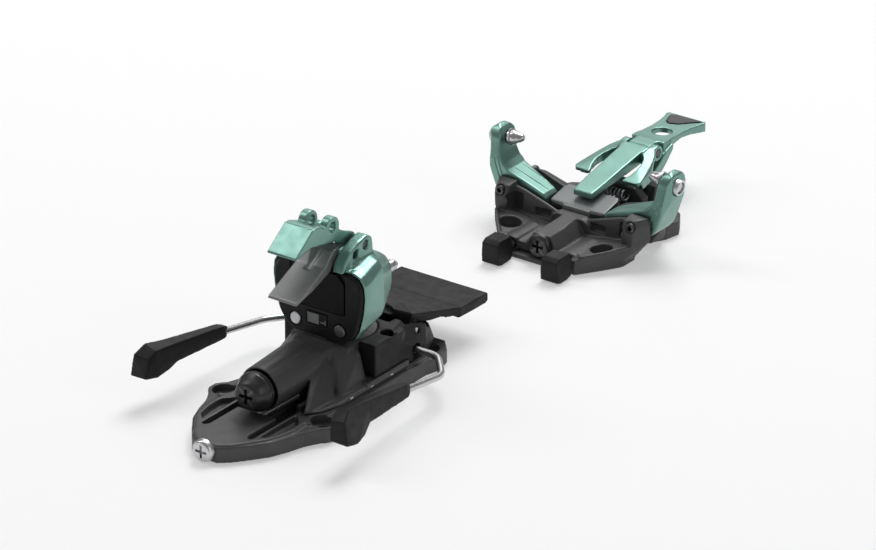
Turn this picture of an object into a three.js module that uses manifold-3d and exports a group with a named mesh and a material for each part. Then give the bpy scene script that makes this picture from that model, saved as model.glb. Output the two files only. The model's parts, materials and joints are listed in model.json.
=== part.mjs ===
// Touring ski binding: a heel unit and a toe unit on one ski axis. Millimetres, +Z up, +Y to the ski's tip,
// +X to the skier's right. The origin lies on the ski's top surface, midway between the heel plate's rear
// mounting holes.
import * as THREE from 'three';
import { ConvexGeometry } from 'three/addons/geometries/ConvexGeometry.js';
import { mergeVertices } from 'three/addons/utils/BufferGeometryUtils.js';
import Module from 'manifold-3d';

const wasm = await Module();
wasm.setup();

// ---------- driving dimensions ----------
const GAP = 0.3; // clearance between pieces that sit against each other
const SIDES = 24; // facets of a round piece

// heel plate and its length adjustment
const HEEL_HOLE_X = 24; // half the spacing of the rear mounting holes
const HEEL_TAIL_Y = -42.3; // rear end of the plate
const HEEL_NOSE_Y = 86; // front end of the plate
const HEEL_EAR_TOP = 6.4; // top of the screw ears
const HEEL_DECK_TOP = 7.3; // top of the tail deck
const RAIL_TOP = 7.2; // top of the rails that the carriage slides on
const HOLE_R = 4.7; // counterbore of a mounting screw
const HOLE_SHANK_R = 3.1; // through hole of a mounting screw
const SCREW_Z = 4.6; // height of the length screw's axis
const SCREW_R = 2; // radius of the length screw

// release barrel and tower
const BARREL_Z = 16.6; // height of the release barrel's axis at its mouth
const BARREL_R = 9.2; // outer radius of the barrel
const BARREL_BORE_R = 7.2; // bore that holds the release spring
const BARREL_MOUTH_Y = -8; // rear end of the barrel
const TOWER_Y = 44; // the tower's vertical turning axis
const TOWER_FACE_Y = 29; // rear face of the tower's cover
const TOWER_TURN_R = 25.6; // circle that the turning tower's foot stays inside
const TOWER_FOOT_Z = 24.6; // lowest point of the tower
const POST_R = 6; // post that the tower turns on
const PIN_X = 12.4; // half the spacing of the heel pins
const PIN_Z = 46.7; // height of the heel pins
const PIN_R = 2.5; // radius of the heel pins
const PIN_TIP_Y = 63.4; // front end of the heel pins

// heel flaps
const LUG_INNER_X = 8.2; // the flap lugs' inner faces
const LUG_OUTER_X = 13.6; // the flap lugs' outer faces
const FLAP_HALF_X = 7; // half the width of a flap
const FLAP_HINGE = [42.7, 62.6]; // Y and Z of the pin that both flaps turn on
const SPARE_HOLE = [36.4, 60.6]; // Y and Z of the empty hole in each lug
const HINGE_R = 1.5; // radius of the flaps' pin
const EYE_HALF_X = 4.2; // half the width of the lower flap's neck and eye

// brake
const AXLE_Y = 64; // the brake arms' turning axis
const AXLE_Z = 11.6;
const WIRE_R = 1.45; // radius of the brake wire
const WIRE_BEND = [43.4, 51.6, 11.4]; // the wire's outer bend
const WIRE_END = [44.9, 16, 17]; // the wire's end inside the foot
const BOLT_X = 18.2; // the housing's two vertical screws
const BOLT_Y = 49.8;
const PAD_HINGE_Y = 68; // the pad's hinge
const PAD_HINGE_Z = 17.5;

// toe unit
const TOE_HOLE_X = 22.9; // half the spacing of the toe's rear mounting holes
const TOE_HOLE_Y = 191.2;
const WING_X = 32.7; // the wings' pivots
const WING_Z = 17.6;
const WING_REAR_Y = 205; // rear face of the wings
const WING_FRONT_Y = 218.4; // front face of the wings
const TOE_PIN_Y = 213; // the toe pins' axis
const TOE_PIN_TIP = [31.4, 35.9]; // X and Z of a toe pin's tip
const TOE_PIN_BACK = [46.6, 33.6]; // X and Z of a toe pin's outer end
const SPRING_REAR_Y = 223.6; // the two wing springs
const SPRING_FRONT_Y = 230.4;
const SPRING_Z = 13.4;
const SPRING_HALF_X = 8.8; // half the length of a wing spring
const LEVER_AXLE_Y = 246; // the lever's axle
const LEVER_AXLE_Z = 12;
const KNUCKLE_Y = 253.6; // the pin between the lever and its fork
const KNUCKLE_Z = 24.8;
const STOP_X = 14.75; // the boot stops' centres
const STOP_SCREW_Z = 7.6; // axis of the boot stops' screw
const STOP_ROD_Z = 4.6; // axis of the boot stops' rods

// ---------- materials ----------
const finish = (color, roughness, metalness) => ({ color, roughness, metalness });
const GREEN = finish('#8fc4b5', 0.35, 0.75);
const BLACK = finish('#2b2b2d', 0.55, 0.35);
const GREY = finish('#4a4a4d', 0.5, 0.4);
const PLASTIC = finish('#232325', 0.6, 0);
const STEEL = finish('#c9cacc', 0.25, 1);
const SPRING_STEEL = finish('#8d9094', 0.35, 1);
const INLAY = finish('#141416', 0.25, 0);

// ---------- solids ----------
const group = new THREE.Group();
const X_AXIS = new THREE.Vector3(1, 0, 0);
const Y_AXIS = new THREE.Vector3(0, 1, 0);
const Z_AXIS = new THREE.Vector3(0, 0, 1);

function toSolid(geometry) {
  const bare = geometry.clone();
  for (const name of Object.keys(bare.attributes)) {
    if (name !== 'position') bare.deleteAttribute(name);
  }
  const merged = mergeVertices(bare, 1e-4);
  const vertProperties = new Float32Array(merged.attributes.position.array);
  const triVerts = new Uint32Array(merged.index.array);
  return new wasm.Manifold(new wasm.Mesh({ numProp: 3, vertProperties, triVerts }));
}

function join(...solids) {
  return solids.reduce((whole, next) => whole.add(next));
}

function cut(solid, ...tools) {
  return tools.reduce((rest, tool) => rest.subtract(tool), solid);
}

// The same solid on the other side of the ski axis.
function mirrorX(solid) {
  const mesh = solid.getMesh();
  const vertProperties = mesh.vertProperties.map((value, i) => (i % 3 === 0 ? -value : value));
  const triVerts = new Uint32Array(mesh.triVerts.length);
  for (let i = 0; i < triVerts.length; i += 3) {
    triVerts.set([mesh.triVerts[i], mesh.triVerts[i + 2], mesh.triVerts[i + 1]], i);
  }
  return new wasm.Manifold(new wasm.Mesh({ numProp: 3, vertProperties, triVerts }));
}

function bothSides(solid) {
  return solid.add(mirrorX(solid));
}

function addPart(name, solid, material) {
  const mesh = solid.getMesh();
  const geometry = new THREE.BufferGeometry();
  geometry.setAttribute('position', new THREE.BufferAttribute(new Float32Array(mesh.vertProperties), 3));
  geometry.setIndex(new THREE.BufferAttribute(new Uint32Array(mesh.triVerts), 1));
  geometry.computeVertexNormals();
  const part = new THREE.Mesh(geometry, new THREE.MeshStandardMaterial(material));
  part.name = name;
  group.add(part);
}

// ---------- building blocks ----------
function extrude(points, depth, matrix) {
  const drawn = points instanceof THREE.Shape;
  const shape = drawn ? points : new THREE.Shape(points.map((p) => new THREE.Vector2(...p)));
  const geometry = new THREE.ExtrudeGeometry(shape, { depth, bevelEnabled: false, curveSegments: 8 });
  geometry.applyMatrix4(matrix);
  return toSolid(geometry);
}

// A plan outline in X and Y, from one height to another.
function slab(points, low, high) {
  return extrude(points, high - low, new THREE.Matrix4().makeTranslation(0, 0, low));
}

// A side outline in Y and Z, from one X to another.
function sideSlab(points, low, high) {
  const matrix = new THREE.Matrix4().makeBasis(Y_AXIS, Z_AXIS, X_AXIS).setPosition(low, 0, 0);
  return extrude(points, high - low, matrix);
}

// A front outline in X and Z, from one Y to another.
function frontSlab(points, low, high) {
  const matrix = new THREE.Matrix4().makeBasis(X_AXIS, Z_AXIS, Y_AXIS.clone().negate()).setPosition(0,
    high, 0);
  return extrude(points, high - low, matrix);
}

function box(low, high) {
  const size = high.map((value, i) => value - low[i]);
  const centre = high.map((value, i) => (value + low[i]) / 2);
  return toSolid(new THREE.BoxGeometry(...size).translate(...centre));
}

function hull(points) {
  return toSolid(new ConvexGeometry(points.map((p) => new THREE.Vector3(...p))));
}

// A hull of points that are given on one side and repeated on the other.
function mirroredHull(points) {
  return hull([...points, ...points.map(([x, y, z]) => [-x, y, z])]);
}

function rod(start, end, radius, endRadius = radius, sides = SIDES) {
  const from = new THREE.Vector3(...start);
  const to = new THREE.Vector3(...end);
  const geometry = new THREE.CylinderGeometry(endRadius, radius, from.distanceTo(to), sides);
  const turn = new THREE.Quaternion().setFromUnitVectors(Y_AXIS, to.clone().sub(from).normalize());
  geometry.applyQuaternion(turn);
  geometry.translate(...from.add(to).multiplyScalar(0.5).toArray());
  return toSolid(geometry);
}

// A turned piece about a line along Y: profile holds [distance along Y, radius] pairs from axis to axis.
function turned(profile, x, y, z) {
  const geometry = new THREE.LatheGeometry(profile.map(([along, r]) => new THREE.Vector2(r, along)), SIDES);
  geometry.translate(x, y, z);
  return toSolid(geometry);
}

function tube(points, radius, steps, sides = 10) {
  const section = new THREE.Shape().absarc(0, 0, radius, 0, Math.PI * 2, false);
  const path = new THREE.CurvePath();
  const corner = points.map((p) => new THREE.Vector3(...p));
  let from = corner[0];
  for (let i = 1; i < corner.length - 1; i += 1) {
    const before = corner[i].clone().lerp(corner[i - 1], 4 / corner[i].distanceTo(corner[i - 1]));
    const after = corner[i].clone().lerp(corner[i + 1], 4 / corner[i].distanceTo(corner[i + 1]));
    path.add(new THREE.LineCurve3(from, before));
    path.add(new THREE.QuadraticBezierCurve3(before, corner[i], after));
    from = after;
  }
  path.add(new THREE.LineCurve3(from, corner[corner.length - 1]));
  const round = new THREE.Shape(section.getSpacedPoints(sides).slice(0, sides));
  return toSolid(new THREE.ExtrudeGeometry(round, { steps, extrudePath: path, bevelEnabled: false }));
}

// A corner-rounded rectangle in X and Z at one Y, as points for a hull.
function roundedFrame(y, halfWidth, low, high, radius) {
  const points = [];
  for (const [sx, sz, start] of [[1, 1, 0], [-1, 1, 90], [-1, -1, 180], [1, -1, 270]]) {
    for (const turn of [0, 30, 60, 90]) {
      const angle = THREE.MathUtils.degToRad(start + turn);
      const z = sz > 0 ? high - radius : low + radius;
      points.push([sx * (halfWidth - radius) + radius * Math.cos(angle), y, z + radius * Math.sin(angle)]);
    }
  }
  return points;
}

// A flat-bottomed drilling for a mounting screw: a counterbore over a through hole.
function screwHole(x, y, seatZ) {
  const bore = rod([x, y, seatZ], [x, y, 40], HOLE_R);
  return join(bore, rod([x, y, -1], [x, y, 40], HOLE_SHANK_R));
}

// The cross-shaped recess of a screw head that faces rearward.
function crossRecess(x, y, z, size, depth) {
  const width = size * 0.22;
  const upright = box([x - width, y - 1, z - size], [x + width, y + depth, z + size]);
  return join(upright, box([x - size, y - 1, z - width], [x + size, y + depth, z + width]));
}

// ---------- heel plate ----------
function heelBasePlate() {
  const foot = [
    [0, HEEL_TAIL_Y], [5, HEEL_TAIL_Y], [9.5, -38.6], [14, -33], [19, -26], [22, -18.4], [24, -11.6],
    [27.6, -5], [30, -2.2], [30, 2.4], [27, 6], [25, 12], [24.8, 66], [26.4, 72], [25, 80.4],
    [20, HEEL_NOSE_Y], [0, HEEL_NOSE_Y],
  ];
  const half = slab(foot, 0, HEEL_EAR_TOP);
  const ear = rod([HEEL_HOLE_X, 0, 0], [HEEL_HOLE_X, 0, HEEL_EAR_TOP], 6.3);
  const deck = mirroredHull([
    [5, HEEL_TAIL_Y, 1], [13.6, -33, 1], [18.6, -26, 1], [21, -18, 1], [21.6, -11, 1], [12, 2, 1],
    [4.4, HEEL_TAIL_Y + 0.9, HEEL_DECK_TOP], [9, -38, HEEL_DECK_TOP], [13, -32.4, HEEL_DECK_TOP],
    [17.6, -25.6, HEEL_DECK_TOP], [20.2, -17.6, HEEL_DECK_TOP], [20.6, -10.6, HEEL_DECK_TOP],
    [12, 2, HEEL_DECK_TOP],
  ]);
  const rim = hull([[17, -13, 2], [22.4, -15, 2], [24.6, -8, 2], [23, 10, 2], [15, 10, 2],
    [17, -13, HEEL_DECK_TOP], [20.8, -14.6, HEEL_DECK_TOP], [20.2, -7, HEEL_DECK_TOP],
    [18.2, 8, HEEL_DECK_TOP - 0.3], [15, 8, HEEL_DECK_TOP - 0.3]]);
  const rail = box([15.5, -6, 0], [22.4, 78, RAIL_TOP]);
  const plate = join(bothSides(join(half, ear, rim, rail)), deck);
  const groove = slab([[9.4, -27.4], [10.4, -29.6], [11.6, -29.6], [12.4, -28.4], [12.4, 79],
    [9.4, 79]], 3, 20);
  const pocket = hull([[13.8, -26, 5.4], [16.6, -23.4, 5.4], [13.6, -27, 9], [18.2, -22.6, 9],
    [13.8, -4, 4.6], [18.2, -8, 4.6], [13.6, -2, 9], [19.2, -8, 9], [18, -16, 4.8], [19.6, -15, 9]]);
  const channel = box([-12.4, -10, 1.6], [12.4, 79, 20]);
  const bore = rod([0, HEEL_TAIL_Y - 2, SCREW_Z], [0, 0, SCREW_Z], SCREW_R + GAP);
  const tools = [bothSides(groove), bothSides(pocket), channel, bore];
  return cut(plate, ...tools, bothSides(screwHole(18.5, 76.5, 3)), bothSides(screwHole(HEEL_HOLE_X, 0,
    3.2)));
}

function lengthScrew() {
  const head = turned([[0, 0], [0, 4.1], [1.4, 4.7], [2.6, 4.7],
    [2.6, 0]], 0, HEEL_TAIL_Y - 2.6 - GAP, SCREW_Z);
  const shank = rod([0, HEEL_TAIL_Y - 0.5, SCREW_Z], [0, 58, SCREW_Z], SCREW_R);
  return cut(join(head, shank), crossRecess(0, HEEL_TAIL_Y - 2.6 - GAP, SCREW_Z, 2.4, 1.4));
}

function lengthNut() {
  const block = box([-4.5, 14, 1.9], [4.5, 26, RAIL_TOP - 0.2]);
  return cut(block, rod([0, 0, SCREW_Z], [0, 40, SCREW_Z], SCREW_R + 0.35));
}

// ---------- heel carriage ----------
function heelCarriage() {
  const low = RAIL_TOP + GAP;
  const barrel = rod([0, BARREL_MOUTH_Y, BARREL_Z], [0, 31, BARREL_Z + 1.3], BARREL_R, BARREL_R + 1.2);
  const leg = bothSides(hull([
    [8.8, 13, 18], [9.4, 22, 21], [9.8, 14.4, 13.4], [10.2, 15, low], [10, 24, low], [12.5, 22, 17],
    [16.2, -1.8, low], [17.4, -1.4, 8.5], [15.8, -0.6, 9], [20.6, 12, low], [19.4, 12, 8.8],
  ]));
  const buttress = mirroredHull([
    [8.6, 22, 18], [9.4, 27, 23.4], [12, 24, 19.6], [10, 22, low], [20.4, 17, low], [19.4, 19, 8.8],
    [20, 34.4, low], [16.6, 34.4, 20.4], [11.6, 34.4, 23.6],
  ]);
  const fin = mirroredHull([[4, 6, 25], [5.5, 27, 23.6], [8.8, 20, 19], [8.8, 6, 20]]);
  const flange = bothSides(hull([
    [12, 8, low], [16.4, -1.8, low], [20.8, 4, low], [23.2, 13, low], [23.4, 34.4, low], [16.2, -1.4, 8.4],
    [20.4, 5, 8.4], [22.6, 13.6, 8.4], [23.2, 34.4, 9], [12, 9, 9], [16, 34.4, 10.6], [9.6, 34.4, low],
  ]));
  const bed = box([-23.4, 30, low], [23.4, 72, 9.8]);
  const table = rod([0, TOWER_Y, low], [0, TOWER_Y, TOWER_FOOT_Z - 1], 14.5);
  const bridge = box([-14, 30, low], [14, TOWER_Y, TOWER_FOOT_Z - 1.4]);
  const runner = box([9.8, 2, 3.4], [12, 66, low + 1]);
  const tongue = box([-4.4, 13, RAIL_TOP], [4.4, 27, low + 1]);
  const body = join(barrel, leg, buttress, fin, flange, bed, table, bridge, bothSides(runner), tongue);
  const bore = rod([0, BARREL_MOUTH_Y - 1, BARREL_Z], [0, 27, BARREL_Z], BARREL_BORE_R);
  const throat = rod([0, BARREL_MOUTH_Y - 1, BARREL_Z], [0, BARREL_MOUTH_Y + 3.5, BARREL_Z], 8.3);
  const postHole = rod([0, TOWER_Y, 5], [0, TOWER_Y, 40], POST_R + 0.3);
  const axleRoom = box([-26, AXLE_Y - 6.5, 5], [26, 80, 40]);
  const sweep = rod([0, TOWER_Y, TOWER_FOOT_Z - 0.8], [0, TOWER_Y, 60], TOWER_TURN_R);
  const belly = box([-5, BARREL_MOUTH_Y - 1, 5], [5, 12, HEEL_DECK_TOP + 0.4]);
  return cut(body, bore, throat, postHole, axleRoom, sweep, belly);
}

function releaseCap() {
  const profile = [[0, 0], [0, 4.9], [0.8, 5.7], [4.2, 7.3], [5.2, 8.1], [7.8, 8.1], [8.3, 6.6],
    [13, 6.6], [13, 0]];
  const cap = turned(profile, 0, BARREL_MOUTH_Y - 9, BARREL_Z);
  return cut(cap, crossRecess(0, BARREL_MOUTH_Y - 9, BARREL_Z, 3.4, 2));
}

// The release spring's envelope: a sleeve with the coil's outer and inner radius.
function releaseSpring() {
  const from = BARREL_MOUTH_Y + 4.6;
  const sleeve = rod([0, from, BARREL_Z], [0, 19.5, BARREL_Z], 6.6);
  return cut(sleeve, rod([0, from - 1, BARREL_Z], [0, 21, BARREL_Z], 4));
}

function releasePlunger() {
  return turned([[0, 0], [0, 3.4], [9.6, 3.4], [9.6, 6.7], [16.2, 6.7], [16.2, 0]], 0, 10.2, BARREL_Z);
}

function towerPost() {
  const shaft = rod([0, TOWER_Y, 7.7], [0, TOWER_Y, 41], POST_R);
  return cut(shaft, rod([0, TOWER_Y, 30], [0, TOWER_Y, 50], 2.4));
}

// ---------- tower ----------
// Half of the tower's outline seen from the rear, as X and Z.
const TOWER_OUTLINE = [[12, 24.8], [16.4, 27.4], [18.8, 31.4], [20.8, 39], [21.6, 46], [21.2, 50.2],
  [19.4, 53.2], [15.6, 54.8]];

// The whole outline, grown outwards at the sides and the top.
function towerOutline(grow) {
  const half = TOWER_OUTLINE.map(([x, z]) => [x + grow, z > 50 ? z + grow : z]);
  return [...half, ...half.map(([x, z]) => [-x, z]).reverse()];
}

function towerRing(y, grow) {
  return towerOutline(grow).map(([x, z]) => [x, y, z]);
}

function towerBody() {
  const front = PIN_TIP_Y - 5.5;
  const shell = hull([
    ...towerRing(TOWER_FACE_Y + 1, 1), ...towerRing(TOWER_FACE_Y + 4, 1), ...roundedFrame(44, 21, 31, 57.5,
      6),
    ...roundedFrame(54, 17.4, 36, 55, 6), ...roundedFrame(front, 14, 39.5, 51.5, 5),
  ]);
  const lugOutline = [[27, 54], [28.6, 58.4], [33, 62.6], [38.5, 65.2], [44, 66.4], [46.8, 64.6],
    [47.6, 61], [47.4, 54]];
  const lug = sideSlab(lugOutline, LUG_INNER_X, LUG_OUTER_X);
  const shoulder = hull([[LUG_OUTER_X - 0.5, 31, 54], [20, 34, 52], [LUG_OUTER_X - 0.5, 48, 58.5],
    [19, 46, 54], [LUG_OUTER_X - 0.5, 33, 58.6], [LUG_OUTER_X - 0.5, 31, 50], [19, 45, 50]]);
  const body = join(shell, bothSides(lug), bothSides(shoulder));
  const flapRoom = sideSlab([[25, 52.4], [29.4, 53.6], [33.4, 57.6], [38, 58.6], [47.5, 58.6], [60, 58.6],
    [60, 70], [25, 70]], -LUG_INNER_X, LUG_INNER_X);
  const post = rod([0, TOWER_Y, 20], [0, TOWER_Y, 42.6], POST_R + 0.25);
  const yoke = box([-PIN_X - 3, TOWER_FACE_Y, PIN_Z - 3], [PIN_X + 3, 37.4, PIN_Z + 3]);
  const pin = rod([PIN_X, 30, PIN_Z], [PIN_X, 70, PIN_Z], PIN_R + 0.3);
  const tip = rod([PIN_X, front - 2, PIN_Z], [PIN_X, 70, PIN_Z], PIN_R + 1.4);
  const pinHoles = [FLAP_HINGE, SPARE_HOLE].map((at) => hingeEye(at, HINGE_R + 0.25, -20, 20));
  const coverSeat = frontSlab(towerOutline(GAP), 20, TOWER_FACE_Y + 3.2);
  const waist = bothSides(hull([[22.5, 33, 23], [22.5, 46, 23], [22.5, 46, 33], [13.5, 33, 23],
    [16, 47, 23], [20, 47, 30]]));
  return cut(body, flapRoom, post, yoke, bothSides(pin), bothSides(tip), ...pinHoles, coverSeat, waist);
}

function towerRearCover() {
  const cover = hull([...towerRing(TOWER_FACE_Y, -0.9), ...towerRing(TOWER_FACE_Y + 1, 0),
    ...towerRing(TOWER_FACE_Y + 3.2 - GAP, 0)]);
  const disc = rod([10.7, 20, 29.8], [10.7, TOWER_FACE_Y + 1.4, 29.8], 2.8);
  const scale = box([-5.2, 20, 29.6], [4.8, TOWER_FACE_Y + 1.2, 35]);
  const inlay = box([-13.3, 20, 36.7], [13.3, TOWER_FACE_Y + 0.9, 54]);
  return cut(cover, bothSides(disc), scale, inlay);
}

function coverInlay() {
  const outline = [[-13, 37], [13, 37], [13, 50], [9.5, 53.7], [-9.5, 53.7], [-13, 50]];
  return frontSlab(outline, TOWER_FACE_Y - 0.2, TOWER_FACE_Y + 0.6);
}

function releaseScale() {
  return box([-4.9, TOWER_FACE_Y - 0.2, 29.9], [4.5, TOWER_FACE_Y + 0.9, 34.7]);
}

function coverDisc(side) {
  return rod([side * 10.7, TOWER_FACE_Y - 0.4, 29.8], [side * 10.7, TOWER_FACE_Y + 1.1, 29.8], 2.5);
}

function heelPinFork() {
  const prong = join(
    rod([PIN_X, 34, PIN_Z], [PIN_X, PIN_TIP_Y - 2.4, PIN_Z], PIN_R),
    rod([PIN_X, PIN_TIP_Y - 2.4, PIN_Z], [PIN_X, PIN_TIP_Y, PIN_Z], PIN_R, 1.2),
  );
  return join(bothSides(prong), box([-PIN_X - 2, 33, PIN_Z - 2.4], [PIN_X + 2, 36.8, PIN_Z + 2.4]));
}

// ---------- flaps ----------
function hingeEye([y, z], radius, low, high) {
  return rod([low, y, z], [high, y, z], radius);
}

function upperFlap() {
  const cheek = [[6.4, 66.9], [6.8, 67.9], [17.8, 76], [20, 76.1], [27, 73.6], [33.6, 70.6], [40, 67.4],
    [43.7, 66], [45.9, 62.6], [42.7, 59.7], [39.2, 61.6], [31.4, 66.2], [16.4, 68.9]];
  const body = sideSlab(cheek, -FLAP_HALF_X, FLAP_HALF_X);
  const ears = bothSides(join(hingeEye([30.2, 72.8], 4.2, 3.4, FLAP_HALF_X),
    sideSlab([[25.6, 74], [24, 70], [38, 67], [33.6, 71.4]], 3.4, FLAP_HALF_X)));
  const between = hull([[-3.2, 22, 75.6], [3.2, 22, 75.6], [-3.2, 40, 66.2], [3.2, 40, 66.2],
    [-3.2, 22, 82], [3.2, 22, 82], [-3.2, 44, 82], [3.2, 44, 82], [3.2, 30, 70.4], [-3.2, 30, 70.4]]);
  const belly = hull([[-4.6, 13, 66], [4.6, 13, 66], [-4.6, 36, 60], [4.6, 36, 60], [-4.6, 15.5, 70.4],
    [4.6, 15.5, 70.4], [-4.6, 33, 66.8], [4.6, 33, 66.8]]);
  const earHole = hingeEye([30.2, 72.8], 2.1, -20, 20);
  const pinHole = hingeEye(FLAP_HINGE, HINGE_R + 0.25, -20, 20);
  const eyeRoom = box([-EYE_HALF_X - 0.4, 34.8, 55], [EYE_HALF_X + 0.4, 50, 80]);
  return cut(join(body, ears), between, belly, earHole, pinHole, eyeRoom);
}

function lowerFlap() {
  const plate = [[6.4, 47.8], [7, 49], [24.9, 57.2], [30, 62.4], [33.6, 63.4], [34.6, 61.2], [33.4, 58.6],
    [28, 54.4], [17.6, 50.6]];
  const neck = [[32.6, 63.4], [36.4, 64.4], [42.7, 65.4], [44.7, 64.6], [45.5, 62.6], [44.7, 60.6],
    [42.7, 59.8], [38, 59.9], [32.8, 58.6]];
  const body = join(sideSlab(plate, -FLAP_HALF_X, FLAP_HALF_X), sideSlab(neck, -EYE_HALF_X, EYE_HALF_X));
  const dish = hull([[-4.8, 17.6, 40], [4.8, 17.6, 40], [-4.8, 26, 40], [4.8, 26, 40], [-4.8, 19.4, 52.4],
    [4.8, 19.4, 52.4], [-4.8, 25.6, 55], [4.8, 25.6, 55]]);
  const trough = rod([0, 21, 58], [0, 33, 66.5], 3.2);
  return cut(body, dish, trough, hingeEye(FLAP_HINGE, HINGE_R + 0.25, -20, 20));
}

function flapPin() {
  return hingeEye(FLAP_HINGE, HINGE_R, 1 - LUG_OUTER_X, LUG_OUTER_X - 1);
}

// ---------- brake ----------
function brakeHousing() {
  const low = RAIL_TOP + GAP;
  const rear = TOWER_Y - 7.5;
  const shell = mirroredHull([
    [22.2, rear, 24.4], [12, rear, 25], [22.4, rear, low], [22.2, 62, 15.8], [21.8, 71, 11.8],
    [22, 71, low], [15, 62, 24], [12, 62, 25.4], [16.8, 76.6, 20.2], [14, 84, 12], [17, 83, low],
    [10, 84, 15],
  ]);
  const lowRoom = box([-30, 20, -5], [30, AXLE_Y - 6.2, 10.1]);
  const table = rod([0, TOWER_Y, 0], [0, TOWER_Y, 40], 14.8);
  const bridge = box([-14.3, 20, 0], [14.3, TOWER_Y, 40]);
  const sweep = rod([0, TOWER_Y, TOWER_FOOT_Z - 1], [0, TOWER_Y, 60], TOWER_TURN_R);
  const axle = rod([-30, AXLE_Y, AXLE_Z], [30, AXLE_Y, AXLE_Z], WIRE_R + 0.35);
  const springRoom = box([-11.4, AXLE_Y - 5, low - 1], [11.4, AXLE_Y + 5.2, 17]);
  const padRoom = mirroredHull([[17.9, 62, 17.4], [17.9, 90, 13.2], [17.9, 90, 40], [17.9, 62, 40]]);
  const eyeRoom = join(box([-16.9, 65.3, 14.9], [16.9, 73, 30]), box([-13, 58, 19.4], [13, 66, 30]));
  const boltHole = rod([BOLT_X, BOLT_Y, 15], [BOLT_X, BOLT_Y, 40], 2.7);
  const shank = rod([BOLT_X, BOLT_Y, 0], [BOLT_X, BOLT_Y, 40], 1.5);
  const hinge = rod([-30, PAD_HINGE_Y, PAD_HINGE_Z], [30, PAD_HINGE_Y, PAD_HINGE_Z], 1.5);
  const wireMouth = bothSides(join(rod([19.4, AXLE_Y, AXLE_Z], [24, AXLE_Y, AXLE_Z], 2.7),
    box([19.4, AXLE_Y - 2, 5], [24, AXLE_Y + 5, AXLE_Z - 0.4])));
  const tools = [lowRoom, table, bridge, sweep, axle, springRoom, padRoom, bothSides(boltHole),
    bothSides(shank)];
  return cut(shell, ...tools, eyeRoom, hinge, wireMouth);
}

function housingScrew(side) {
  const x = side * BOLT_X;
  const screw = join(rod([x, BOLT_Y, 15.3], [x, BOLT_Y, 17.2], 2.4), rod([x, BOLT_Y, 10.3],
    [x, BOLT_Y, 16], 1.2));
  return cut(screw, rod([x, BOLT_Y, 16.2], [x, BOLT_Y, 20], 1.2, 1.2, 6));
}

function brakePad() {
  const strip = mirroredHull([
    [21, 94.6, 13.6], [21.4, 96, 18], [21.4, 94.6, 17.8], [21, 112.4, 13], [21.4, 113.4, 14.2],
    [21.4, 113, 17.6], [20, 95, 12.8],
  ]);
  const shield = mirroredHull([
    [21.2, 95, 17.9], [18.2, 77, 21.8], [16.6, 68.6, 23.8], [21, 95, 14.4], [17.6, 77, 18.8], [15, 68, 19],
  ]);
  const crown = mirroredHull([[16.4, 69, 23.8], [9.5, 62.4, 27], [9.5, 72, 25.6], [9, 62.4, 23.4],
    [14, 68.6, 19.4], [6, 73, 21]]);
  const eye = mirroredHull([[16.4, 66.2, 15.6], [16.4, 70.4, 15.6], [16.4, 66.2, 20], [16.4, 72, 20]]);
  const sweep = join(rod([0, TOWER_Y, 0], [0, TOWER_Y, 60], 17.2), rod([0, TOWER_Y, 24.2],
    [0, TOWER_Y, 60], 22.8));
  const under = box([-19, 78, 0], [19, 92, 17]);
  return cut(join(strip, shield, crown, eye), sweep, under,
    rod([-30, PAD_HINGE_Y, PAD_HINGE_Z], [30, PAD_HINGE_Y, PAD_HINGE_Z], 1.5));
}

function brakePadPin() {
  return rod([-19, PAD_HINGE_Y, PAD_HINGE_Z], [19, PAD_HINGE_Y, PAD_HINGE_Z], 1.2);
}

function brakeWire(side) {
  const route = [[3.5, AXLE_Y, AXLE_Z], [32.4, AXLE_Y, AXLE_Z], WIRE_BEND, WIRE_END];
  return tube(route.map(([x, y, z]) => [side * x, y, z]), WIRE_R, 28);
}

function brakeFoot(side) {
  const arm = hull([
    [43, 27, 14.4], [46.4, 27, 14.4], [43, 27, 17.8], [46.2, 27, 17.8], [42.4, 25, 13.4], [47, 25, 13.4],
    [42.6, 24, 19], [46.8, 24, 19], [43, 4, 14.4], [48.2, 4, 14.2], [43, 4, 21.6], [47, 4, 22],
    [43.8, -14, 14.8], [49.8, -14, 14.4], [43.4, -14.6, 23.8], [48.6, -14.6, 25.2],
  ]);
  const paddle = hull([
    [43.4, -1, 15.4], [48.6, -1, 15], [43.2, 0, 21.8], [47.4, 0, 22.6], [43.8, -9, 12.6], [50.6, -8, 11.4],
    [44, -16, 11.8], [52.4, -15, 11], [43.4, -17, 24], [49.4, -17, 25.8], [44.6, -22.6, 13.2],
    [52.8, -22.2, 12.8], [44.2, -21.6, 21.4], [51.2, -22, 22.4],
  ]);
  const scoop = hull([[51, 4, 9], [54.2, -12, 9], [50.2, 4, 16.6], [54.2, -12, 16.2], [48.8, 20, 12],
    [58.8, 20, 12], [58.8, -12, 12]]);
  const beyond = WIRE_END.map((value, i) => value + (value - WIRE_BEND[i]) * 0.05);
  const socket = tube([WIRE_BEND, beyond], WIRE_R + 0.3, 4);
  const shaped = cut(join(arm, paddle), scoop, socket);
  return side > 0 ? shaped : mirrorX(shaped);
}

// The envelope of the brake's torsion spring, a sleeve around the two inner wire ends.
function brakeSpring() {
  const sleeve = rod([-10.8, AXLE_Y, AXLE_Z], [10.8, AXLE_Y, AXLE_Z], 3.6);
  return cut(sleeve, rod([-12, AXLE_Y, AXLE_Z], [12, AXLE_Y, AXLE_Z], 2.1));
}

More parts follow.
